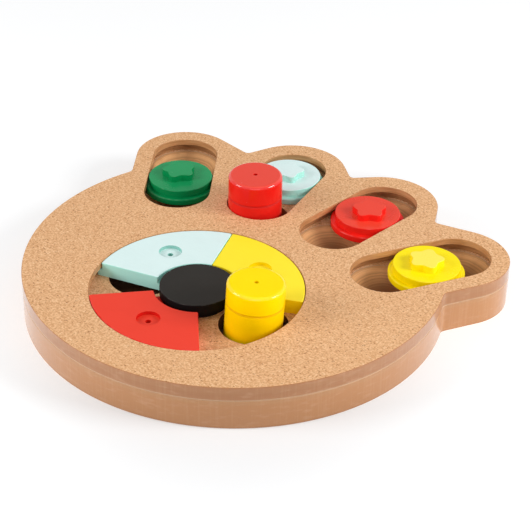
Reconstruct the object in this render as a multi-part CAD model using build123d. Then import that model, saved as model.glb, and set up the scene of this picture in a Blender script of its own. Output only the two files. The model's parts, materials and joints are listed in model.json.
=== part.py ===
from build123d import *
import os
from math import acos, asin, atan2, cos, degrees, radians, sin

# A paw-shaped treat puzzle for pets. Sizes are in millimetres, +Z is up and the toes point to +Y.
# Two glued fibreboard sheets hold undercut tracks: flanged discs slide in the toes, flanged ring
# pieces turn round a black hub in the palm, and two loose plugs stand in wells.

# Sheets
UPPER_SHEET = 9.0
LOWER_SHEET = 18.0
RIM_ROUND = 0.35
SEAM_BREAK = 0.3

# Paw outline, measured from the hub axis
PALM_RADIUS = 124.0
PALM_AHEAD = 35.8
INNER_TOE_WALL = 12.9
OUTER_TOE_WALL = 11.0
MIDDLE_NOTCH_Y = 158.4
SIDE_NOTCH_X = 71.1
SIDE_NOTCH_Y = 144.0
NOTCH_ROUND = 3.0
WAIST_ROUND = 5.0

# Toe slots: how far out, at what bearing from +Y, and how far their length is turned from +Y
INNER_TOE_REACH = 125.1
INNER_TOE_BEARING = 14.25
INNER_TOE_TURN = 8.53
OUTER_TOE_REACH = 132.8
OUTER_TOE_BEARING = 42.35
OUTER_TOE_TURN = 31.83
SLOT_HALF_STRAIGHT = 23.2

# Undercut tracks: the lip is what is left of the upper sheet over each flange
LIP = 3.8
LIP_OVERHANG = 2.8
POCKET_RADIUS = 62.0
FLANGE_HEIGHT = 4.3
FLANGE_CLEARANCE = 0.6

# Sliding discs
SLIDER_RADIUS = 20.0
SLOT_CLEARANCE = 0.5
FLANGE_ROUND = 1.1
FLANGE_FOOT_ROUND = 0.7
DISC_ROUND = 0.5

# Raised star on each disc
STAR_TIP = 12.6
STAR_NOTCH = 7.9
STAR_HEIGHT = 4.3
STAR_TIP_ROUND = 3.0
STAR_NOTCH_ROUND = 2.5
STAR_EDGE_ROUND = 0.5

# Where each disc rests, outwards from its slot's palm end; the mint disc rests clear of the red plug
GREEN_REST = 19.2
RED_REST = 31.3
YELLOW_REST = 27.0
MINT_TO_PLUG = 3.5

# Stars are glued on by hand: the angle of a tip, how far off centre and in which direction, all from +X
GREEN_STAR_TURN = -4.0
GREEN_STAR_OFF = 1.4
GREEN_STAR_WAY = 172.0
MINT_STAR_TURN = 34.0
MINT_STAR_OFF = 1.2
MINT_STAR_WAY = 254.0
RED_STAR_TURN = 53.5
RED_STAR_OFF = 2.2
RED_STAR_WAY = 326.0
YELLOW_STAR_TURN = 35.7
YELLOW_STAR_OFF = 1.2
YELLOW_STAR_WAY = 274.0

# Hub
HUB_RADIUS = 21.6
HUB_THICKNESS = 6.0
BOSS_RADIUS = 18.0
BOSS_HEIGHT = 4.8
SCREW_RADIUS = 2.0
SCREW_LENGTH = 26.0
SCREW_HEAD_RADIUS = 4.0
SCREW_HEAD_HEIGHT = 2.4
SCREW_SUNK = 0.4
SCREW_CLEARANCE = 0.1
CROSS_WIDTH = 1.0
CROSS_LENGTH = 4.4
CROSS_DEPTH = 1.6

# Ring pieces
RING_SPAN = 84.6
RING_INNER = 25.0
RING_CLEARANCE = 0.4
BOSS_CLEARANCE = 1.0
RING_CORNER = 0.9
RING_EDGE_ROUND = 0.6
FINGER_HOLE_RADIUS = 6.8
FINGER_HOLE_DEPTH = 2.2
FINGER_HOLE_REACH = 41.2
SPUR_RADIUS = 1.7
SPUR_DEPTH = 2.2
RING_TO_PLUG = 0.5
RING_GAP_ANGLE = 0.4
RED_RING_SHARE = 0.56

# Wells in the lower sheet
RING_WELLS = 4
RING_WELL_RADIUS = 20.0
RING_WELL_REACH = 40.1
WELL_DEPTH = 10.0
WELL_CORNER = 0.8
DISH_COVER = 0.7
DISH_DEPTH = 9.0
PLUG_WELL_OFFSET = 26.2
PLUG_WELL_CLEARANCE = 2.7

# Loose plugs
PLUG_RADIUS = 16.6
RED_PLUG_HEIGHT = 39.9
YELLOW_PLUG_HEIGHT = 38.5
PLUG_TOP_ROUND = 2.1
PLUG_FOOT_CHAMFER = 1.0
GROOVE_HEIGHT = 26.0
GROOVE_DEPTH = 0.7
GROOVE_HALF_WIDTH = 0.8
PLUG_HOLE_RADIUS = 1.3
PLUG_HOLE_DEPTH = 6.0
RED_PLUG_ASIDE = 1.95
YELLOW_PLUG_LEAN = 2.7
YELLOW_PLUG_LEAN_BEARING = 35.4
YELLOW_PLUG_BACK = 0.5
YELLOW_PLUG_NEARER = 1.2

# How near a corner has to be to a worked-out point to be taken for it
SAME_POINT = 0.01

# Worked-out sizes
SLOT_HALF_WIDTH = SLIDER_RADIUS + SLOT_CLEARANCE
TRACK_HALF_WIDTH = SLOT_HALF_WIDTH + LIP_OVERHANG
SLIDER_FLANGE_RADIUS = TRACK_HALF_WIDTH - FLANGE_CLEARANCE
POCKET_TRACK_RADIUS = POCKET_RADIUS + LIP_OVERHANG + FLANGE_CLEARANCE
RING_OUTER = POCKET_RADIUS - RING_CLEARANCE
RING_FLANGE_OUTER = POCKET_TRACK_RADIUS - FLANGE_CLEARANCE
RING_FLANGE_INNER = BOSS_RADIUS + BOSS_CLEARANCE
TRACK_HEIGHT = UPPER_SHEET - LIP
DISH_RADIUS = SLIDER_FLANGE_RADIUS - DISH_COVER
PLUG_WELL_RADIUS = PLUG_RADIUS + PLUG_WELL_CLEARANCE
WELL_FLOOR = LOWER_SHEET - WELL_DEPTH
MINT_REST = SLOT_HALF_STRAIGHT - PLUG_WELL_OFFSET + PLUG_RADIUS + MINT_TO_PLUG + SLIDER_FLANGE_RADIUS

# Ring pieces round the hub: the yellow one starts beside the yellow plug, the mint one follows it,
# and the red one stands in the room that is left before the plug
LEAN = Rot(0, 0, YELLOW_PLUG_LEAN_BEARING)
PLUG_SPOT = (Pos(RING_WELL_REACH, 0) * LEAN * Pos(-YELLOW_PLUG_BACK, -YELLOW_PLUG_NEARER)).position
PLUG_ANGLE = degrees(atan2(PLUG_SPOT.Y, PLUG_SPOT.X))
PLUG_HALF_ANGLE = degrees(asin(PLUG_RADIUS / PLUG_SPOT.length))
YELLOW_RING_START = PLUG_ANGLE + degrees(asin((PLUG_RADIUS + RING_TO_PLUG) / PLUG_SPOT.length))
MINT_RING_START = YELLOW_RING_START + RING_SPAN + RING_GAP_ANGLE
RED_RING_ROOM = 360 + PLUG_ANGLE - PLUG_HALF_ANGLE - MINT_RING_START - 2 * RING_SPAN
RED_RING_START = MINT_RING_START + RING_SPAN + RED_RING_SHARE * RED_RING_ROOM


def toe(side, reach, bearing, turn):
    """Place of a toe slot's middle, with local +Y out along the slot."""
    x = side * reach * sin(radians(bearing))
    y = reach * cos(radians(bearing))
    return Location((x, y, 0), (0, 0, -side * turn))


# Toes from the left to the right
GREEN_TOE = toe(-1, OUTER_TOE_REACH, OUTER_TOE_BEARING, OUTER_TOE_TURN)
MINT_TOE = toe(-1, INNER_TOE_REACH, INNER_TOE_BEARING, INNER_TOE_TURN)
RED_TOE = toe(1, INNER_TOE_REACH, INNER_TOE_BEARING, INNER_TOE_TURN)
YELLOW_TOE = toe(1, OUTER_TOE_REACH, OUTER_TOE_BEARING, OUTER_TOE_TURN)
TOES = [GREEN_TOE, MINT_TOE, RED_TOE, YELLOW_TOE]


def slot(half_width):
    """Plan of a slot along Y with round ends."""
    return Rot(0, 0, 90) * SlotCenterToCenter(2 * SLOT_HALF_STRAIGHT, 2 * half_width)


def slot_end(place, way):
    """Centre of the round end of a toe's slot, outer end for way 1 and palm end for way -1."""
    return (place * Pos(0, way * SLOT_HALF_STRAIGHT)).position


def tangent_point(corner, centre, radius):
    """Where the line from a notch's corner grazes the round end of a toe, on its outer side."""
    away = corner - centre
    graze = degrees(acos(radius / away.length))
    points = [centre + away.normalized().rotate(Axis.Z, turn) * radius for turn in (-graze, graze)]
    return max(points, key=lambda point: point.Y)


def web(corner, one, one_wall, other, other_wall):
    """Plan between two neighbouring toes, with the notch's corner at its top."""
    one_tip = slot_end(one, 1)
    other_tip = slot_end(other, 1)
    return make_face(Polyline(
        corner,
        tangent_point(corner, one_tip, SLOT_HALF_WIDTH + one_wall),
        one_tip,
        slot_end(one, -1),
        slot_end(other, -1),
        other_tip,
        tangent_point(corner, other_tip, SLOT_HALF_WIDTH + other_wall),
        close=True,
    ))


def paw():
    """Plan of the board: a round palm, a walled slot for each toe and the webs between them."""
    palm_centre = Vector(0, PALM_AHEAD)
    middle = Vector(0, MIDDLE_NOTCH_Y)
    left = Vector(-SIDE_NOTCH_X, SIDE_NOTCH_Y)
    right = Vector(SIDE_NOTCH_X, SIDE_NOTCH_Y)
    above = Pos(0, INNER_TOE_REACH) * Rectangle(2 * PALM_RADIUS, PALM_RADIUS, align=(Align.CENTER, Align.MIN))
    plan = Pos(palm_centre) * Circle(PALM_RADIUS) - above
    plan += [place * slot(SLOT_HALF_WIDTH + INNER_TOE_WALL) for place in (MINT_TOE, RED_TOE)]
    plan += [place * slot(SLOT_HALF_WIDTH + OUTER_TOE_WALL) for place in (GREEN_TOE, YELLOW_TOE)]
    plan += web(middle, MINT_TOE, INNER_TOE_WALL, RED_TOE, INNER_TOE_WALL)
    plan += web(left, GREEN_TOE, OUTER_TOE_WALL, MINT_TOE, INNER_TOE_WALL)
    plan += web(right, RED_TOE, INNER_TOE_WALL, YELLOW_TOE, OUTER_TOE_WALL)
    on_palm = [v for v in plan.vertices() if abs((Vector(v) - palm_centre).length - PALM_RADIUS) < SAME_POINT]
    waists = ShapeList(on_palm).sort_by(Axis.Y)[-2:]
    plan = fillet(waists, WAIST_ROUND)
    corners = (middle, left, right)
    notches = [v for v in plan.vertices() if min((Vector(v) - n).length for n in corners) < SAME_POINT]
    return fillet(notches, NOTCH_ROUND)


PAW = paw()


def upper_board():
    """Upper sheet: the round pocket and the four slots, each undercut so that a lip holds the flanges."""
    sheet = extrude(PAW, UPPER_SHEET)
    sheet -= extrude(Circle(POCKET_TRACK_RADIUS), TRACK_HEIGHT)
    sheet -= extrude(Circle(POCKET_RADIUS), UPPER_SHEET)
    for place in TOES:
        sheet -= place * extrude(slot(TRACK_HALF_WIDTH), TRACK_HEIGHT)
        sheet -= place * extrude(slot(SLOT_HALF_WIDTH), UPPER_SHEET)
    seam = sheet.faces().sort_by(Axis.Z)[0].outer_wire().edges()
    sheet = chamfer(seam, SEAM_BREAK)
    sheet = fillet(sheet.faces().sort_by(Axis.Z)[-1].edges(), RIM_ROUND)
    return Pos(0, 0, LOWER_SHEET) * sheet


def well(radius):
    """Round well with a rounded bottom corner, to be cut down from the top of the lower sheet."""
    drill = Pos(0, 0, WELL_FLOOR) * Cylinder(radius, WELL_DEPTH, align=(Align.CENTER, Align.CENTER, Align.MIN))
    return fillet(drill.faces().sort_by(Axis.Z)[0].edges(), WELL_CORNER)


def dish():
    """Round-bottomed hollow for a treat, which a disc at the end of its slot just covers."""
    ball = (DISH_RADIUS ** 2 + DISH_DEPTH ** 2) / (2 * DISH_DEPTH)
    return Pos(0, 0, LOWER_SHEET + ball - DISH_DEPTH) * Sphere(ball)


def screw_body(clearance):
    """Countersunk screw from below on the hub axis, or the hole for it with a clearance all round."""
    shank = Cylinder(SCREW_RADIUS + clearance, SCREW_LENGTH, align=(Align.CENTER, Align.CENTER, Align.MIN))
    head = Cone(
        SCREW_HEAD_RADIUS + clearance,
        SCREW_RADIUS + clearance,
        SCREW_HEAD_HEIGHT,
        align=(Align.CENTER, Align.CENTER, Align.MIN),
    )
    return Pos(0, 0, SCREW_SUNK) * (shank + head)


def screw_hole():
    """Hole for the hub screw, open to the underside."""
    mouth = Cylinder(SCREW_HEAD_RADIUS + SCREW_CLEARANCE, 2 * SCREW_SUNK)
    return screw_body(SCREW_CLEARANCE) + Pos(0, 0, SCREW_LENGTH + SCREW_SUNK) * Sphere(
        SCREW_RADIUS + SCREW_CLEARANCE) + mouth


def lower_board():
    """Lower sheet: the floor of the tracks, with round wells under the ring and dishes under the discs."""
    sheet = extrude(PAW, LOWER_SHEET)
    sheet = chamfer(sheet.faces().sort_by(Axis.Z)[-1].edges(), SEAM_BREAK)
    sheet = fillet(sheet.faces().sort_by(Axis.Z)[0].edges(), RIM_ROUND)
    sheet -= [place * well(RING_WELL_RADIUS) for place in PolarLocations(RING_WELL_REACH, RING_WELLS)]
    for place in TOES:
        sheet -= Pos(slot_end(place, 1)) * dish()
    for place in (GREEN_TOE, RED_TOE, YELLOW_TOE):
        sheet -= Pos(slot_end(place, -1)) * dish()
    sheet -= MINT_TOE * Pos(0, -PLUG_WELL_OFFSET) * well(PLUG_WELL_RADIUS)
    return sheet - screw_hole()


def hub_boss():
    """Spacer under the hub disc, which leaves room for the inner flanges of the ring pieces."""
    boss = Cylinder(BOSS_RADIUS, BOSS_HEIGHT, align=(Align.CENTER, Align.CENTER, Align.MIN))
    return Pos(0, 0, LOWER_SHEET) * boss - screw_hole()


def hub_disc():
    """Black disc that overhangs the inner flanges of the ring pieces."""
    disc = Cylinder(HUB_RADIUS, HUB_THICKNESS, align=(Align.CENTER, Align.CENTER, Align.MIN))
    disc = fillet(disc.faces().sort_by(Axis.Z)[-1].edges(), RIM_ROUND)
    return Pos(0, 0, LOWER_SHEET + BOSS_HEIGHT) * disc - screw_hole()


def hub_screw():
    """Countersunk screw that draws the hub disc and its boss down on the lower sheet."""
    cross = Box(CROSS_LENGTH, CROSS_WIDTH, 2 * CROSS_DEPTH) + Box(CROSS_WIDTH, CROSS_LENGTH, 2 * CROSS_DEPTH)
    return screw_body(0) - Pos(0, 0, SCREW_SUNK) * cross


def ring_plan(inner, outer):
    """Plan of a ring piece, centred on +X, with rounded corners."""
    half = RING_SPAN / 2
    wedge = make_face(Polyline(
        (0, 0),
        (2 * outer * cos(radians(half)), -2 * outer * sin(radians(half))),
        (2 * outer, 0),
        (2 * outer * cos(radians(half)), 2 * outer * sin(radians(half))),
        close=True,
    ))
    plan = (Circle(outer) - Circle(inner)) & wedge
    return fillet(plan.vertices(), RING_CORNER)


def ring_piece(start):
    """Ring piece with a flange under the lip and another under the hub, and a drilled finger hole."""
    piece = extrude(ring_plan(RING_FLANGE_INNER, RING_FLANGE_OUTER), FLANGE_HEIGHT)
    piece += Pos(0, 0, FLANGE_HEIGHT) * extrude(ring_plan(RING_INNER, RING_OUTER), UPPER_SHEET - FLANGE_HEIGHT)
    piece = fillet(piece.faces().sort_by(Axis.Z)[-1].edges(), RING_EDGE_ROUND)
    finger_hole = Pos(FINGER_HOLE_REACH, 0, UPPER_SHEET) * Cylinder(FINGER_HOLE_RADIUS, 2 * FINGER_HOLE_DEPTH)
    spur = Pos(FINGER_HOLE_REACH, 0, UPPER_SHEET - FINGER_HOLE_DEPTH) * Cylinder(SPUR_RADIUS, 2 * SPUR_DEPTH)
    return Pos(0, 0, LOWER_SHEET) * Rot(0, 0, start + RING_SPAN / 2) * (piece - finger_hole - spur)


def slider_flange():
    """Foot of a sliding disc, which runs under the lip."""
    flange = Cylinder(SLIDER_FLANGE_RADIUS, FLANGE_HEIGHT, align=(Align.CENTER, Align.CENTER, Align.MIN))
    flange = fillet(flange.faces().sort_by(Axis.Z)[-1].edges(), FLANGE_ROUND)
    return fillet(flange.faces().sort_by(Axis.Z)[0].edges(), FLANGE_FOOT_ROUND)


def slider_disc():
    """Upper disc of a slider, flush with the board."""
    disc = Cylinder(SLIDER_RADIUS, UPPER_SHEET - FLANGE_HEIGHT, align=(Align.CENTER, Align.CENTER, Align.MIN))
    return Pos(0, 0, FLANGE_HEIGHT) * fillet(disc.faces().sort_by(Axis.Z)[-1].edges(), DISC_ROUND)


def slider_star(turn, off, way):
    """Raised blunt star, the grip of a sliding disc, glued on a little off its centre."""
    tips = [Vector(STAR_TIP, 0).rotate(Axis.Z, 72 * i) for i in range(5)]
    notches = [Vector(STAR_NOTCH, 0).rotate(Axis.Z, 72 * i + 36) for i in range(5)]
    plan = make_face(Polyline([point for pair in zip(tips, notches) for point in pair], close=True))
    plan = fillet([v for v in plan.vertices() if Vector(v).length > STAR_TIP - SAME_POINT], STAR_TIP_ROUND)
    plan = fillet([v for v in plan.vertices() if Vector(v).length < STAR_NOTCH + SAME_POINT], STAR_NOTCH_ROUND)
    star = extrude(plan, STAR_HEIGHT)
    star = fillet(star.faces().sort_by(Axis.Z)[-1].edges(), STAR_EDGE_ROUND)
    return Pos(Vector(off, 0, UPPER_SHEET).rotate(Axis.Z, way)) * Rot(0, 0, turn) * star


def plug(height):
    """Turned plug with a rounded top, a groove for the grip and a small hole in its top."""
    body = Cylinder(PLUG_RADIUS, height, align=(Align.CENTER, Align.CENTER, Align.MIN))
    body = fillet(body.faces().sort_by(Axis.Z)[-1].edges(), PLUG_TOP_ROUND)
    body = chamfer(body.faces().sort_by(Axis.Z)[0].edges(), PLUG_FOOT_CHAMFER)
    groove = make_face(Polyline(
        (PLUG_RADIUS - GROOVE_DEPTH, 0, GROOVE_HEIGHT),
        (PLUG_RADIUS + GROOVE_DEPTH, 0, GROOVE_HEIGHT - 2 * GROOVE_HALF_WIDTH),
        (PLUG_RADIUS + GROOVE_DEPTH, 0, GROOVE_HEIGHT + 2 * GROOVE_HALF_WIDTH),
        close=True,
    ))
    body -= revolve(groove, Axis.Z)
    return body - Pos(0, 0, height) * Cylinder(PLUG_HOLE_RADIUS, 2 * PLUG_HOLE_DEPTH)


def yellow_plug():
    """Yellow plug in the free well on the right, leaning a little, on the low edge of its foot."""
    leaning = Pos(PLUG_SPOT) * LEAN * Rot(0, YELLOW_PLUG_LEAN, 0) * plug(YELLOW_PLUG_HEIGHT)
    return Pos(0, 0, WELL_FLOOR - leaning.bounding_box().min.Z) * leaning


def red_plug():
    """Red plug in its well at the palm end of the second toe."""
    place = MINT_TOE * Pos(-RED_PLUG_ASIDE, -PLUG_WELL_OFFSET)
    return place * Pos(0, 0, WELL_FLOOR) * plug(RED_PLUG_HEIGHT)


def parts():
    """Every piece by name, in the hub's frame."""
    pieces = {
        "lower_board": lower_board(),
        "upper_board": upper_board(),
        "hub_boss": hub_boss(),
        "hub_disc": hub_disc(),
        "hub_screw": hub_screw(),
        "yellow_ring_piece": ring_piece(YELLOW_RING_START),
        "mint_ring_piece": ring_piece(MINT_RING_START),
        "red_ring_piece": ring_piece(RED_RING_START),
        "red_plug": red_plug(),
        "yellow_plug": yellow_plug(),
    }
    sliders = {
        "green": (GREEN_TOE, GREEN_REST, slider_star(GREEN_STAR_TURN, GREEN_STAR_OFF, GREEN_STAR_WAY)),
        "mint": (MINT_TOE, MINT_REST, slider_star(MINT_STAR_TURN, MINT_STAR_OFF, MINT_STAR_WAY)),
        "red": (RED_TOE, RED_REST, slider_star(RED_STAR_TURN, RED_STAR_OFF, RED_STAR_WAY)),
        "yellow": (YELLOW_TOE, YELLOW_REST, slider_star(YELLOW_STAR_TURN, YELLOW_STAR_OFF, YELLOW_STAR_WAY)),
    }
    for colour, (place, rest, star) in sliders.items():
        seat = Pos((place * Pos(0, rest - SLOT_HALF_STRAIGHT)).position + Vector(0, 0, LOWER_SHEET))
        pieces[colour + "_slider_flange"] = seat * slider_flange()
        pieces[colour + "_slider_disc"] = seat * slider_disc()
        pieces[colour + "_slider_star"] = seat * star
    return pieces


# The frame's origin is the middle of the board's underside
os.makedirs("parts", exist_ok=True)
origin = Pos(0, -PAW.bounding_box().center().Y, 0)
for name, piece in parts().items():
    export_step(origin * piece, "parts/" + name + ".step")
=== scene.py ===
import bpy
import json
from math import cos, pi, radians, sin
from mathutils import Matrix, Vector


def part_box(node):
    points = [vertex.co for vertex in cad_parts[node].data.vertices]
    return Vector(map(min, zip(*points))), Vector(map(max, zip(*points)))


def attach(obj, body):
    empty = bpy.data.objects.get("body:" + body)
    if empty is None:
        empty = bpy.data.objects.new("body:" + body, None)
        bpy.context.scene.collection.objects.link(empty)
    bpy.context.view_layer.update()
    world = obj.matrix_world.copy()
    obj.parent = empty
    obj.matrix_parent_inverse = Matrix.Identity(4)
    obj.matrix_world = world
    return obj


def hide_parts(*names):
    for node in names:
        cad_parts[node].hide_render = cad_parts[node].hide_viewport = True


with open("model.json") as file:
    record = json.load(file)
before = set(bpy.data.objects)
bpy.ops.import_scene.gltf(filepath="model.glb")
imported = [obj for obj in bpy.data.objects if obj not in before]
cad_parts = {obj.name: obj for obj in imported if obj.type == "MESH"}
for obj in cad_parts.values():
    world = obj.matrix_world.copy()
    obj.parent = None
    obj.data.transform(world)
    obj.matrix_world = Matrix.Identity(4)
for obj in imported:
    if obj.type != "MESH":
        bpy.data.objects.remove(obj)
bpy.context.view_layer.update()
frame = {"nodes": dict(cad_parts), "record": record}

# The lower sheet is 18 mm of bare MDF, sawn to the paw's outline. Its upper face is the floor of the tracks,
# with round wells drilled under the ring and hollows routed under the sliding discs.
# Its edge is sanded smooth but not painted, and shows a pale line where the upper sheet is glued on.


class Tone:
    """A node socket: arithmetic on it adds Math nodes, and node() adds any other node to the same tree."""

    def __init__(self, tree, socket=None):
        self.tree = tree
        self.socket = socket

    def node(self, kind, inputs, output=0, stops=(), **settings):
        """Adds a node of a type with its settings, a ramp's stops, and its sockets' values or links."""
        made = self.tree.nodes.new(kind)
        for key, value in settings.items():
            setattr(made, key, value)
        for index, (place, colour) in enumerate(stops):
            ramp = made.color_ramp.elements
            stop = ramp[index] if index < 2 else ramp.new(place)
            stop.position = place
            stop.color = colour
        for key, value in inputs.items():
            for one in value if isinstance(value, list) else [value]:
                if isinstance(one, Tone):
                    self.tree.links.new(one.socket, made.inputs[key])
                else:
                    made.inputs[key].default_value = one
        return Tone(self.tree, made.outputs[output] if made.outputs else None)

    def out(self, output):
        """Another output of the node that this socket belongs to."""
        return Tone(self.tree, self.socket.node.outputs[output])

    def math(self, operation, one, other=0.0):
        return self.node("ShaderNodeMath", {0: one, 1: other}, operation=operation)

    def __add__(self, other):
        return self.math("ADD", self, other)

    def __sub__(self, other):
        return self.math("SUBTRACT", self, other)

    def __rsub__(self, other):
        return self.math("SUBTRACT", other, self)

    def __mul__(self, other):
        return self.math("MULTIPLY", self, other)

    def __truediv__(self, other):
        return self.math("DIVIDE", self, other)

    def __rtruediv__(self, other):
        return self.math("DIVIDE", other, self)

    __radd__ = __add__
    __rmul__ = __mul__

    def ramp(self, low, high):
        """Smooth step from 0 at low to 1 at high."""
        return self.node("ShaderNodeMapRange", {"Value": self, "From Min": low, "From Max": high},
                         interpolation_type="SMOOTHSTEP")

    def blend(self, one, other):
        """One colour where this value is 0, the other where it is 1."""
        return self.node("ShaderNodeMix", {0: self, 6: one, 7: other}, 2, data_type="RGBA")

    def over(self, base, colour, share):
        """The base with a colour laid over it where this value is 1, at a share of its full strength."""
        return (self * share).blend(base, colour)

    def noise(self, scale, detail=2.0, roughness=0.5):
        """Cloudy noise over this vector."""
        return self.node("ShaderNodeTexNoise",
                         {"Vector": self, "Scale": scale, "Detail": detail, "Roughness": roughness})

    def stretch(self, scale, turn=0.0):
        """This vector turned about Z and then scaled, so that a pattern on it runs in one direction."""
        return self.node("ShaderNodeMapping", {"Vector": self, "Rotation": (0.0, 0.0, turn), "Scale": scale})

    def flecks(self, share, size):
        """Scattered spots on this vector: the share of cells that have one, and the largest spot's size."""
        cell = self.node("ShaderNodeTexVoronoi", {"Vector": self, "Scale": 1.0}, "Distance")
        chance = self.node("ShaderNodeSeparateColor", {0: cell.out("Color")}, "Red")
        reach = chance.node("ShaderNodeMapRange", {"Value": chance, "From Min": 1 - share, "From Max": 1.0,
                                                   "To Min": 0.0, "To Max": size})
        return (reach - cell).ramp(0.0, size * 0.5)


def surface(name):
    """A new material, and a tone that holds its Object coordinates."""
    material = bpy.data.materials.new(name)
    material.use_nodes = True
    material.node_tree.nodes.clear()
    return material, Tone(material.node_tree).node("ShaderNodeTexCoord", {}, "Object")


def upward(here):
    """How far the surface faces up: 1 on a top, 0 on a wall."""
    normal = here.node("ShaderNodeNewGeometry", {}, "Normal")
    return here.node("ShaderNodeSeparateXYZ", {0: normal}, "Z")


def from_point(here, point):
    """Distance in plan from a point of the board."""
    plan = here.node("ShaderNodeVectorMath", {0: here, 1: (1.0, 1.0, 0.0)}, operation="MULTIPLY")
    middle = (point[0], point[1], 0.0)
    return here.node("ShaderNodeVectorMath", {0: plan, 1: middle}, "Value", operation="DISTANCE")


def dress(node, material):
    """Puts a finish on one solid of the frame."""
    mesh = frame["nodes"][node].data
    mesh.materials.clear()
    mesh.materials.append(material)


BOARD_HEIGHT = 0.027
FIBRE_DARK, FIBRE_PALE = (0.590, 0.297, 0.128, 1), (0.848, 0.522, 0.283, 1)
FIBRE_CLOUD, LONG_FIBRE = (0.760, 0.415, 0.200, 1), (0.960, 0.680, 0.420, 1)
BROWN_CHIP, DARK_CHIP = (0.370, 0.150, 0.044, 1), (0.270, 0.090, 0.018, 1)
EDGE_LAYER, EDGE_CHIP = (0.380, 0.170, 0.075, 1), (0.300, 0.130, 0.055, 1)
SANDER_MARK, SANDER_STROKE = (0.600, 0.390, 0.230, 1), (0.600, 0.370, 0.230, 1)
FACE_ROUGHNESS, EDGE_POLISH, DUST_ROUGHNESS = 0.52, 0.26, 0.16


def fibreboard(name, edge_bands, routed):
    """Bare MDF: pressed fibres and dark chips on the faces, browner layered edges with sander marks.

    edge_bands are the sawn edge's colours by height. routed gives the share of a cut surface and its colour,
    which carries painted shade.
    """
    material, here = surface(name)
    height = here.node("ShaderNodeSeparateXYZ", {0: here}, "Z")
    tilt = here.math("ABSOLUTE", upward(here))
    face = tilt.ramp(0.78, 0.95)
    upright = 1 - tilt.ramp(0.10, 0.40)

    dust = here.noise(scale=2300.0)
    chips = here.noise(scale=860.0, detail=3.0, roughness=0.62)
    cloud = here.noise(scale=26.0, detail=3.0)
    dark_chips = here.stretch((400.0, 920.0, 720.0), turn=0.5).flecks(share=0.60, size=0.40)
    brown_chips = here.stretch((1000.0, 520.0, 780.0), turn=0.25).flecks(share=0.66, size=0.44)
    long_fibres = here.stretch((370.0, 1270.0, 1090.0), turn=-0.6).flecks(share=0.66, size=0.44)
    flat = chips.ramp(0.33, 0.67).blend(FIBRE_DARK, FIBRE_PALE)
    flat = cloud.ramp(0.35, 0.70).over(flat, FIBRE_CLOUD, share=0.15)
    flat = long_fibres.over(flat, LONG_FIBRE, share=0.75)
    flat = brown_chips.over(flat, BROWN_CHIP, share=0.80)
    flat = dark_chips.over(flat, DARK_CHIP, share=0.90)

    layers = here.stretch((26.0, 26.0, 900.0)).noise(scale=1.0, detail=3.0)
    marks = here.stretch((800.0, 800.0, 30.0)).noise(scale=1.0)
    strokes = here.stretch((120.0, 120.0, 420.0)).noise(scale=1.0, detail=3.0)
    edge = here.node("ShaderNodeValToRGB", {0: height * (1 / BOARD_HEIGHT)}, stops=edge_bands)
    edge = layers.ramp(0.40, 0.75).over(edge, EDGE_LAYER, share=0.20)
    edge = marks.ramp(0.45, 0.75).over(edge, SANDER_MARK, share=0.08)
    edge = strokes.ramp(0.50, 0.75).over(edge, SANDER_STROKE, share=0.16)
    edge = chips.ramp(0.45, 0.75).over(edge, EDGE_CHIP, share=0.14)

    share, cut = routed(here, height)
    pressed = chips * 0.5 + dust * 0.5 - dark_chips * 0.4
    sanded = marks * 0.6 + layers * 0.4
    bump = here.node("ShaderNodeBump", {"Height": pressed * face + (1 - face) * sanded,
                                        "Strength": 0.30, "Distance": 0.0003})
    shader = here.node("ShaderNodeBsdfPrincipled", {
        "Base Color": share.blend(face.blend(edge, flat), cut),
        "Roughness": FACE_ROUGHNESS - upright * EDGE_POLISH + dust * DUST_ROUGHNESS,
        "Coat Weight": upright,
        "Coat Roughness": 0.16,
        "Normal": bump,
        "Specular IOR Level": 0.22,
    })
    here.node("ShaderNodeOutputMaterial", {"Surface": shader})
    return material


hub_low, hub_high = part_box("hub_disc")
hub_place = (Vector(hub_low) + Vector(hub_high)) / 2
joints = frame["record"]["behaviour"]["joints"]
slides = {joint["child"]: joint for joint in joints if joint["type"] == "slide"}
slot_length = slides["green_slider"]["range_m"][1] - slides["green_slider"]["range_m"][0]
slot_ends = {}
for colour in ("green", "mint", "red", "yellow"):
    low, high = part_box(colour + "_slider_disc")
    slide = slides[colour + "_slider"]
    way = Vector(slide["axis"])
    outer = (Vector(low) + Vector(high)) / 2 + way * slide["range_m"][1]
    slot_ends[colour] = (outer, outer - way * slot_length)

UNDERSIDE, TRACK_FLOOR = (0.0004, 0.0010), (0.0172, 0.0179)
WELLS_REACH = (0.0640, 0.0650)
DISH_SPREAD = (0.0050, 0.0205)
# The dish colour runs from painted shade in the middle to a painted lit rim.
DISH_SHADED_MIDDLE, DISH_LIT_RIM = (0.240, 0.096, 0.032, 1), (0.820, 0.440, 0.190, 1)
CUTTER_RING, CUTTER_SMEAR = (0.280, 0.112, 0.037, 1), (0.360, 0.150, 0.054, 1)
# The wells' dark colours are painted shade.
WELL_SHADE_DARK, WELL_SHADE_PALE = (0.120, 0.058, 0.030, 1), (0.210, 0.105, 0.052, 1)


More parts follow.
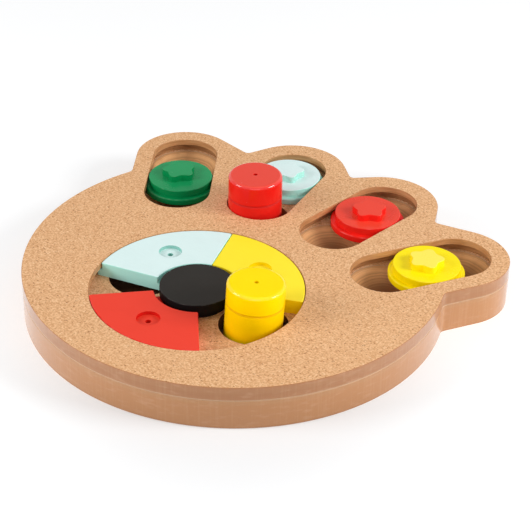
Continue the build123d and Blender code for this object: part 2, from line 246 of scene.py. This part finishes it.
def hollows(here, height):
    """The dishes under the discs, browner cut fibre with the cutter's rings, painted dark towards the middle
    as shade and pale at the rim as light, and the wells, darkened all over as painted shade.
    """
    below = (1 - height.ramp(*TRACK_FLOOR)) * height.ramp(*UNDERSIDE)
    in_pocket = 1 - from_point(here, hub_place).ramp(*WELLS_REACH)
    nearest = from_point(here, slot_ends["green"][0])
    for ends in slot_ends.values():
        for end in ends:
            nearest = here.math("MINIMUM", nearest, from_point(here, end))
    smear = here.noise(scale=130.0, detail=3.0)
    rings = here.node("ShaderNodeTexNoise", {"W": nearest * 620.0 + smear * 0.9, "Scale": 1.0, "Detail": 2.0},
                      noise_dimensions="1D")
    # Painted shade and light: the dish darkens towards its middle and is pale at its rim.
    dish = nearest.ramp(*DISH_SPREAD).blend(DISH_SHADED_MIDDLE, DISH_LIT_RIM)
    dish = rings.ramp(0.42, 0.62).over(dish, CUTTER_RING, share=0.42)
    dish = smear.ramp(0.45, 0.75).over(dish, CUTTER_SMEAR, share=0.25)
    # Painted shade in the wells.
    well_shade = smear.ramp(0.35, 0.70).blend(WELL_SHADE_DARK, WELL_SHADE_PALE)
    share = below * here.math("MAXIMUM", upward(here).ramp(0.15, 0.30), in_pocket)
    return share, in_pocket.blend(dish, well_shade)


SEAM_LINE = (0.490, 0.300, 0.175, 1)
lower_edge = [
    (0.00, (0.312, 0.130, 0.044, 1)),
    (0.05, (0.396, 0.171, 0.057, 1)),
    (0.55, (0.396, 0.171, 0.057, 1)),
    (0.60, (0.396, 0.184, 0.065, 1)),
    (0.652, (0.379, 0.180, 0.068, 1)),
    (0.662, SEAM_LINE),
]
dress("lower_board", fibreboard("lower fibreboard", lower_edge, hollows))

# The sliding discs are two discs glued together: a wide foot that runs under the lip and a smaller one that
# fills the slot's width. They are turned from wood and sprayed as one with a satin paint.

# Heights above which upward faces take the paler top colour, which is painted light.
LIT_TOP_HEIGHTS = (0.0236, 0.0246)
YELLOW_REFLECTION = (1.0, 0.8, 0.0)


def shade(colour, share=1.0):
    """A paint's colour at a share of its strength."""
    return (*[part * share for part in colour], 1)


def paint(name, colour, lit_top, roughness=0.26, wear_and_highlight=0.10, turned=None, gloss=0.11, tint=(1.0, 1.0, 1.0),
          hole=None, hole_shade=1.0):
    """Sprayed paint on sanded wood: orange peel, dust nibs, rubbed edges with a painted highlight on their
    rounding, and a paler copy of the colour on the very top, which is painted light.

    turned gives the heights that a turned groove lies between, where its flanks are darkened as painted shade
    and made rougher. Above them the rounded rim has a glossy bead of paint. hole is the middle of a drilled
    finger hole
    and its radius: the hole's walls are darkened as painted shade, to the share of the colour that the last
    argument gives.
    and its radius: there the end grain has soaked the paint up, and soak is the share of its colour left.
    """
    material, here = surface(name)
    facing = upward(here)
    height = here.node("ShaderNodeSeparateXYZ", {0: here}, "Z")
    peel = here.noise(scale=820.0)
    wash = here.noise(scale=70.0)
    grain = here.stretch((160.0, 1200.0, 1200.0), turn=0.5).noise(scale=1.0)
    nibs = here.stretch((340.0, 340.0, 340.0)).flecks(share=0.16, size=0.16)
    # The rounded edges turn paler: partly rubbed paint, partly a painted highlight.
    bend = facing.ramp(0.15, 0.45) * (1 - facing.ramp(0.75, 0.95))
    rubbed_and_highlight = bend * here.noise(scale=240.0, detail=3.0).ramp(0.35, 0.65)

    # Painted light: upward faces above the flanges take the paler top colour.
    film = (facing.ramp(0.55, 0.95) * height.ramp(*LIT_TOP_HEIGHTS)).blend(shade(colour), shade(lit_top))
    film = (wash * 0.6 + grain * 0.4).ramp(0.35, 0.70).over(film, shade(lit_top, 0.75), share=0.10)
    film = (rubbed_and_highlight * wear_and_highlight + nibs * 0.12).blend(film, (*[0.5 + 0.5 * part for part in lit_top], 1))
    # Painted shade: the finger hole's walls are darkened.
    if hole is not None:
        middle, radius = hole
        inside = 1 - from_point(here, middle).ramp(radius - 0.0002, radius + 0.0002)
        film = (inside * (1 - facing.ramp(0.30, 0.70))).blend(film, shade(colour, hole_shade))
    sheen = roughness + (wash - 0.5) * 0.14 + (peel - 0.5) * 0.06
    bead = 0.0
    if turned is not None:
        low, high = turned
        beside = height.ramp(low, low + 0.001) * (1 - height.ramp(high - 0.001, high))
        shaded_groove = here.math("ABSOLUTE", facing).ramp(0.12, 0.40) * beside
        # Painted shade: the groove's flanks are darkened.
        groove_shade_colour = (colour[0] * 0.62, colour[1] * 0.42, colour[2] * 0.30, 1)
        film = shaded_groove.over(film, groove_shade_colour, share=0.55)
        sheen = sheen + shaded_groove * 0.45
        rim = facing.ramp(0.15, 0.40) * (1 - facing.ramp(0.93, 0.995))
        bead = 0.7 * rim * height.ramp(high, high + 0.001)
    bump = here.node("ShaderNodeBump", {"Height": peel * 0.6 + grain * 0.25 + nibs * 0.9,
                                        "Strength": 0.16, "Distance": 0.00025})
    shader = here.node("ShaderNodeBsdfPrincipled", {
        "Base Color": film,
        "Roughness": sheen,
        "Normal": bump,
        "Specular IOR Level": gloss,
        "Specular Tint": (*tint, 1),
        "Coat Weight": bead,
        "Coat Roughness": 0.08,
    })
    here.node("ShaderNodeOutputMaterial", {"Surface": shader})
    return material


# Each paint has its side colour and a paler copy for the tops, which is painted light.
green = paint("green paint", (0.001, 0.240, 0.070), (0.010, 0.298, 0.097))
mint = paint("mint paint", (0.400, 0.800, 0.700), (0.705, 0.870, 0.855))
red = paint("red paint", (0.850, 0.016, 0.010), (0.830, 0.056, 0.029))
yellow = paint("yellow paint", (0.990, 0.760, 0.001), (0.985, 0.800, 0.004), tint=YELLOW_REFLECTION)
disc_finish = {"green": green, "mint": mint, "red": red, "yellow": yellow}
for colour, finish in disc_finish.items():
    dress(colour + "_slider_flange", finish)
    dress(colour + "_slider_disc", finish)

# A blunt five-pointed star is glued on each disc by hand, a little off its centre, as the grip for a paw or
# a nose. It is sawn from thin board with rounded corners, its upper edge is eased, and it is painted with the
# disc. The yellow one has a paler coat.

STAR_TIP, STAR_NOTCH, STAR_HEIGHT = 0.0126, 0.0079, 0.0043
TIP_ROUND, NOTCH_ROUND, EASED_EDGE = 0.0030, 0.0025, 0.0005
STAR_POINTS, ROUNDING_STEPS, EASING_STEPS = 5, 9, 5
FLAT_TOP_SHARE, WELD_DISTANCE = 0.97, 0.000001

star_tree = bpy.data.node_groups.new("glued star", "GeometryNodeTree")
star_tree.interface.new_socket("Geometry", in_out="OUTPUT", socket_type="NodeSocketGeometry")
star_inputs = {}
for title, kind in (("Tip", "Float"), ("Notch", "Float"), ("Height", "Float"), ("Tip Round", "Float"),
                    ("Notch Round", "Float"), ("Eased Edge", "Float"), ("Turn", "Float"),
                    ("Place", "Vector"), ("Paint", "Material")):
    entry = star_tree.interface.new_socket(title, in_out="INPUT", socket_type="NodeSocket" + kind)
    star_inputs[title] = entry.identifier

given = Tone(star_tree).node("NodeGroupInput", {}, "Tip")
tip, eased = given, given.out("Eased Edge")
outline = given.node("GeometryNodeCurveStar", {
    "Points": STAR_POINTS, "Inner Radius": given.out("Notch"), "Outer Radius": tip})
round_off = given.node("GeometryNodeSwitch", {
    "Switch": outline.out("Outer Points"), "False": given.out("Notch Round"), "True": given.out("Tip Round"),
}, input_type="FLOAT")
outline = given.node("GeometryNodeFilletCurve", {
    "Curve": outline, "Count": ROUNDING_STEPS, "Radius": round_off}, mode="POLY")
foot = given.node("GeometryNodeFillCurve", {"Curve": outline}, mode="NGONS")
solid = given.node("GeometryNodeExtrudeMesh", {
    "Mesh": foot, "Offset Scale": given.out("Height") - eased, "Individual": False}, mode="FACES")
top_face = solid.out("Top")
for step in range(EASING_STEPS):
    before, after = (pi / 2 * (step + more) / EASING_STEPS for more in (0, 1))
    solid = given.node("GeometryNodeExtrudeMesh", {
        "Mesh": solid, "Selection": top_face, "Individual": False,
        "Offset Scale": eased * (sin(after) - sin(before))}, mode="FACES")
    top_face = solid.out("Top")
    inset = (tip - eased * (1 - cos(after))) / (tip - eased * (1 - cos(before)))
    solid = given.node("GeometryNodeScaleElements", {
        "Geometry": solid, "Selection": top_face, "Scale": inset})
solid = given.node("GeometryNodeExtrudeMesh", {
    "Mesh": solid, "Selection": top_face, "Individual": False, "Offset Scale": 0.0}, mode="FACES")
solid = given.node("GeometryNodeScaleElements", {
    "Geometry": solid, "Selection": solid.out("Top"), "Scale": FLAT_TOP_SHARE})
sole = given.node("GeometryNodeFlipFaces", {"Mesh": foot})
solid = given.node("GeometryNodeJoinGeometry", {0: [solid, sole]})
solid = given.node("GeometryNodeMergeByDistance", {"Geometry": solid, "Distance": WELD_DISTANCE})
turned = given.node("ShaderNodeCombineXYZ", {"Z": given.out("Turn")})
solid = given.node("GeometryNodeTransform", {
    "Geometry": solid, "Rotation": turned, "Translation": given.out("Place")})
solid = given.node("GeometryNodeRealizeInstances", {"Geometry": solid})
solid = given.node("GeometryNodeSetMaterial", {"Geometry": solid, "Material": given.out("Paint")})
given.node("NodeGroupOutput", {"Geometry": solid})

# Each star's turn in degrees, how far its middle is off the disc's, and in which direction.
star_places = {
    "green": (-4.0, 0.0014, 172.0),
    "mint": (34.0, 0.0012, 254.0),
    "red": (53.5, 0.0022, 326.0),
    "yellow": (35.7, 0.0012, 274.0),
}
# Its top is a paler copy of its side colour, which is painted light, as on the other paints.
yellow_star = paint("yellow star paint", (0.990, 0.760, 0.001), (0.985, 0.820, 0.100))
star_finish = {**disc_finish, "yellow": yellow_star}
for colour, (tip_angle, off, way) in star_places.items():
    low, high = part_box(colour + "_slider_disc")
    place = Vector(((low[0] + high[0]) / 2 + off * cos(radians(way)),
                    (low[1] + high[1]) / 2 + off * sin(radians(way)), high[2]))
    star = bpy.data.objects.new(colour + "_star", bpy.data.meshes.new(colour + " star"))
    bpy.context.scene.collection.objects.link(star)
    maker = star.modifiers.new("glued star", "NODES")
    maker.node_group = star_tree
    sizes = {"Tip": STAR_TIP, "Notch": STAR_NOTCH, "Height": STAR_HEIGHT, "Tip Round": TIP_ROUND,
             "Notch Round": NOTCH_ROUND, "Eased Edge": EASED_EDGE, "Turn": radians(tip_angle), "Place": place,
             "Paint": star_finish[colour]}
    for title, value in sizes.items():
        maker[star_inputs[title]] = value
    made = bpy.data.meshes.new_from_object(star.evaluated_get(bpy.context.evaluated_depsgraph_get()))
    star.modifiers.clear()
    star.data = made
    made.shade_smooth()
    made.set_sharp_from_angle(angle=radians(40))
    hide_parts(colour + "_slider_star")
    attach(star, colour + "_slider")
    colour + "_paint"

# Ring pieces are sectors of a painted wooden ring. Each has a flange under the lip and one under the hub,
# and a finger hole drilled with a spur bit, which leaves a small mark in the middle.
# Their paint is flatter than the discs'. Its top colour is a paler copy, which is painted light, and the
# finger hole's walls are darkened as painted shade.

FINGER_HOLE_DEPTH, FINGER_HOLE_RADIUS = 0.0022, 0.0072
RING_ROUGHNESS = 0.42
# For each ring piece: its side colour, a paler top colour that is painted light, and the share of the colour
# left on the finger hole's walls as painted shade.
ring_paint = {
    "red_ring_piece": ((0.850, 0.016, 0.010), (0.820, 0.052, 0.027), 0.75),
    "yellow_ring_piece": ((0.990, 0.720, 0.001), (0.990, 0.810, 0.030), 0.92),
    "mint_ring_piece": ((0.450, 0.900, 0.800), (0.705, 0.870, 0.855), 0.62),
}
for ring, (side, lit_top, hole_shade) in ring_paint.items():
    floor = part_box(ring)[1][2] - FINGER_HOLE_DEPTH
    corners = frame["nodes"][ring].data.vertices
    rim = [corner.co for corner in corners if abs(corner.co.z - floor) < 0.00001]
    finger_hole = (sum(rim, Vector()) / len(rim), FINGER_HOLE_RADIUS)
    dress(ring, paint(ring.replace("piece", "paint"), side, lit_top, RING_ROUGHNESS, hole=finger_hole, hole_shade=hole_shade))

# The upper sheet is 9 mm of the same MDF, glued on over the discs and ring pieces. Its pocket and slots are
# routed with a T-slot cutter, which leaves a thin lip over the track; the cut wall under the lip is painted
# darker as shade.

POCKET_REACH, SLOT_REACH = (0.0660, 0.0680), (0.0245, 0.0260)
LIP_UNDERSIDE = (0.0226, 0.0233)
LIP_DARK, LIP_PALE = (0.500, 0.235, 0.095, 1), (0.640, 0.335, 0.150, 1)
# The undercut's colours are painted shade under the lip.
UNDERCUT_SHADE_DARK, UNDERCUT_SHADE_PALE = (0.290, 0.130, 0.050, 1), (0.430, 0.205, 0.085, 1)
upper_edge = [
    (0.678, SEAM_LINE),
    (0.700, (0.335, 0.150, 0.056, 1)),
    (0.740, (0.322, 0.132, 0.044, 1)),
    (0.810, (0.317, 0.129, 0.043, 1)),
    (0.860, (0.324, 0.139, 0.049, 1)),
    (0.910, (0.331, 0.143, 0.052, 1)),
    (0.960, (0.331, 0.137, 0.047, 1)),
    (1.000, (0.339, 0.131, 0.040, 1)),
]


def cut_walls(here, height):
    """The walls that the router cut: a tan lip at the top, and below it the undercut, painted dark as the
    shade under the lip.
    """
    inside = 1 - from_point(here, hub_place).ramp(*POCKET_REACH)
    for outer, palm in slot_ends.values():
        way = palm - outer
        way_share = way / way.length_squared
        away = here.node("ShaderNodeVectorMath", {0: here, 1: outer}, operation="SUBTRACT")
        away = here.node("ShaderNodeVectorMath", {0: away, 1: (1.0, 1.0, 0.0)}, operation="MULTIPLY")
        along = here.node("ShaderNodeVectorMath", {0: away, 1: way_share}, "Value", operation="DOT_PRODUCT")
        along = here.math("MINIMUM", here.math("MAXIMUM", along, 0.0), 1.0)
        nearest = here.node("ShaderNodeVectorMath", {0: way, "Scale": along}, operation="SCALE")
        off = here.node("ShaderNodeVectorMath", {0: away, 1: nearest}, "Value", operation="DISTANCE")
        inside = here.math("MAXIMUM", inside, 1 - off.ramp(*SLOT_REACH))
    streaks = here.stretch((90.0, 90.0, 700.0)).noise(scale=1.0, detail=3.0).ramp(0.35, 0.70)
    lip = streaks.blend(LIP_DARK, LIP_PALE)
    # Painted shade on the wall under the lip.
    undercut_shade = streaks.blend(UNDERCUT_SHADE_DARK, UNDERCUT_SHADE_PALE)
    return inside * (1 - upward(here).ramp(0.5, 0.8)), height.ramp(*LIP_UNDERSIDE).blend(undercut_shade, lip)


dress("upper_board", fibreboard("upper fibreboard", upper_edge, cut_walls))

# The hub is a black disc on a smaller spacer, so that the inner flanges of the ring pieces run under its rim.
# Both are turned from wood and sprayed a flat black.

HUB_ROUGHNESS, HUB_GLOSS = 0.48, 0.08
# The top gets a paler copy of the black, which is painted light.
black = paint("flat black paint", (0.006, 0.005, 0.005), (0.022, 0.019, 0.016), HUB_ROUGHNESS,
              gloss=HUB_GLOSS)
dress("hub_boss", black)
dress("hub_disc", black)

# A countersunk steel screw comes up from the underside, through the lower sheet and the spacer into the disc.
# It is zinc plated, and its head is turned, which leaves fine rings.

ZINC_DARK, ZINC_PALE = (0.50, 0.51, 0.52, 1), (0.66, 0.66, 0.65, 1)
zinc, here = surface("zinc plate")
screw_low, screw_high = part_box("hub_screw")
to_axis = (0.0, -(screw_low[1] + screw_high[1]) / 2, 0.0)
on_axis = here.node("ShaderNodeMapping", {"Vector": here, "Location": to_axis})
rings = here.node("ShaderNodeTexWave", {"Vector": on_axis, "Scale": 900.0, "Distortion": 0.6},
                  wave_type="RINGS", rings_direction="Z")
bloom = here.noise(scale=400.0)
shader = here.node("ShaderNodeBsdfPrincipled", {
    "Base Color": bloom.ramp(0.3, 0.7).blend(ZINC_DARK, ZINC_PALE),
    "Metallic": 1.0,
    "Roughness": 0.28 + bloom * 0.18,
    "Normal": here.node("ShaderNodeBump", {"Height": rings, "Strength": 0.15, "Distance": 0.0001}),
})
here.node("ShaderNodeOutputMaterial", {"Surface": shader})
dress("hub_screw", zinc)

# The two plugs are turned from dowel, with a V groove for a paw or a nose, a rounded top and the small hole
# that the lathe's centre leaves. Their paint is smoother than the discs', with a glossy bead on the rim.

# The plugs' rounded edges get little of the paler wear and painted highlight.
PLUG_ROUGHNESS, PLUG_WEAR_AND_HIGHLIGHT, PLUG_END = 0.20, 0.02, 0.006
# For each plug: its side colour, a paler top colour that is painted light, its gloss and the tint of its
# reflection.
plug_paint = {
    "red_plug": ((0.750, 0.012, 0.008), (0.810, 0.050, 0.026), 0.15, (1.0, 1.0, 1.0)),
    "yellow_plug": ((0.990, 0.650, 0.001), (0.985, 0.740, 0.001), 0.05, YELLOW_REFLECTION),
}
for plug, (side, lit_top, gloss, tint) in plug_paint.items():
    low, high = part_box(plug)
    groove_between = (low[2] + PLUG_END, high[2] - PLUG_END)
    dress(plug, paint(plug.replace("plug", "gloss"), side, lit_top, PLUG_ROUGHNESS, PLUG_WEAR_AND_HIGHLIGHT, groove_between,
                      gloss, tint))

# The floor is a wide white table top that runs out of view, and it takes the board's soft shadow.
# It glows as if lit from below, more at the sides and the back, which lights the board; its weaker glow under
# the front edge is a painted shadow, and it shows as plain white.

TABLE_REACH, TABLE_TOP = 4.0, -0.0004
TABLE_WHITE = (0.605, 0.612, 0.620, 1)
FRONT_SHADOW_GLOW, SIDE_GLOW, NEAR_GLOW, FAR_GLOW = 0.30, 1.25, 0.46, 0.74
FRONT_SHADOW_SPOT, FRONT_SHADOW_SPREAD, FAR_SPREAD = (0.058, -0.082), (0.05, 0.15), (0.6, 1.7)


def shown(tone):
    """1 for the rays that show the background: the camera's own, and those off a gloss or through glass."""
    path = tone.node("ShaderNodeLightPath", {}, "Is Camera Ray")
    mirrored = tone.math("MAXIMUM", path.out("Is Glossy Ray"), path.out("Is Transmission Ray"))
    return tone.math("MAXIMUM", path, mirrored)


def grey(level):
    """A neutral light of one level."""
    return (level, level, level, 1)


table_mesh = bpy.data.meshes.new("table top")
corners = [(x * TABLE_REACH, y * TABLE_REACH, TABLE_TOP) for x, y in ((-1, -1), (1, -1), (1, 1), (-1, 1))]
table_mesh.from_pydata(corners, [], [(0, 1, 2, 3)])
table = bpy.data.objects.new("table_top", table_mesh)
bpy.context.scene.collection.objects.link(table)
white, here = surface("white table")
matt = here.node("ShaderNodeBsdfDiffuse", {"Color": TABLE_WHITE})
# Painted shadow: the glow is weaker in front of the board.
away = from_point(here, FRONT_SHADOW_SPOT).ramp(*FRONT_SHADOW_SPREAD)
far = from_point(here, (0.0, 0.0)).ramp(*FAR_SPREAD)
plain = far.blend(grey(NEAR_GLOW), grey(FAR_GLOW))
lit = away.blend(grey(FRONT_SHADOW_GLOW), shown(here).blend(grey(SIDE_GLOW), plain))
glow = here.node("ShaderNodeEmission", {"Color": lit, "Strength": 1.0})
both = here.node("ShaderNodeAddShader", {0: matt, 1: glow})
here.node("ShaderNodeOutputMaterial", {"Surface": both})
table_mesh.materials.append(white)

# Studio light: a white room all round, a low soft box on each side of the board, and a weak fill in front.
# The lamps are placed from where the camera stands, so its angles come first.

ROOM_LIGHT = 0.45
CAMERA_TURN, CAMERA_LIFT, CAMERA_ROLL = radians(35.42), radians(32.77), radians(1.11)
LAMP_SIZE, LAMP_ASIDE, LAMP_AHEAD = 0.5, 1.10, 0.25
LEFT_UP, LEFT_POWER, RIGHT_UP, RIGHT_POWER = 0.55, 7.8, 0.60, 11.6
FILL_WIDTH, FILL_HEIGHT, FILL_AHEAD, FILL_UP, FILL_POWER = 1.2, 0.8, 1.60, 0.70, 5.0

world = bpy.data.worlds.new("white room")
bpy.context.scene.world = world
world.use_nodes = True
world.node_tree.nodes.clear()
room = Tone(world.node_tree)
strength = ROOM_LIGHT + (1 - ROOM_LIGHT) * shown(room)
air = room.node("ShaderNodeBackground", {"Color": (1, 1, 1, 1), "Strength": strength})
room.node("ShaderNodeOutputWorld", {"Surface": air})

back = Vector((sin(CAMERA_TURN) * cos(CAMERA_LIFT), -cos(CAMERA_TURN) * cos(CAMERA_LIFT), sin(CAMERA_LIFT)))
aside = Vector((cos(CAMERA_TURN), sin(CAMERA_TURN), 0))
ahead = Vector((back.x, back.y, 0)).normalized()
upwards = back.cross(aside)
target = Vector((0.0171, -0.0024, 0.027))


def soft_box(name, place, width, height, power):
    """A rectangular area lamp that faces the board."""
    lamp = bpy.data.lights.new(name, "AREA")
    lamp.shape = "RECTANGLE"
    lamp.size = width
    lamp.size_y = height
    lamp.energy = power
    box = bpy.data.objects.new(name, lamp)
    facing = (place - target).to_track_quat("Z", "Y").to_matrix().to_4x4()
    box.matrix_world = Matrix.Translation(place) @ facing
    bpy.context.scene.collection.objects.link(box)


left = target - LAMP_ASIDE * aside + LAMP_AHEAD * ahead + Vector((0, 0, LEFT_UP))
right = target + LAMP_ASIDE * aside + LAMP_AHEAD * ahead + Vector((0, 0, RIGHT_UP))
front = target + FILL_AHEAD * ahead + Vector((0, 0, FILL_UP))
soft_box("left soft box", left, LAMP_SIZE, LAMP_SIZE, LEFT_POWER)
soft_box("right soft box", right, LAMP_SIZE, LAMP_SIZE, RIGHT_POWER)
soft_box("front fill", front, FILL_WIDTH, FILL_HEIGHT, FILL_POWER)

# The camera stands where the photograph was taken from, with a long lens and a slight roll.
# It looks at a point on the board's top, a little right of its middle.

CAMERA_DISTANCE, CAMERA_LENS, SENSOR_WIDTH, CLIP_START = 0.9656, 112.47, 36.0, 0.01
lens = bpy.data.cameras.new("camera")
lens.sensor_width = SENSOR_WIDTH
lens.lens = CAMERA_LENS
lens.clip_start = CLIP_START
rightwards = cos(CAMERA_ROLL) * aside + sin(CAMERA_ROLL) * upwards
topwards = cos(CAMERA_ROLL) * upwards - sin(CAMERA_ROLL) * aside
stance = Matrix((rightwards, topwards, back)).transposed().to_4x4()
camera = bpy.data.objects.new("camera", lens)
camera.matrix_world = Matrix.Translation(target + CAMERA_DISTANCE * back) @ stance
bpy.context.scene.collection.objects.link(camera)
bpy.context.scene.camera = camera
bpy.context.scene.view_settings.view_transform = "Standard"
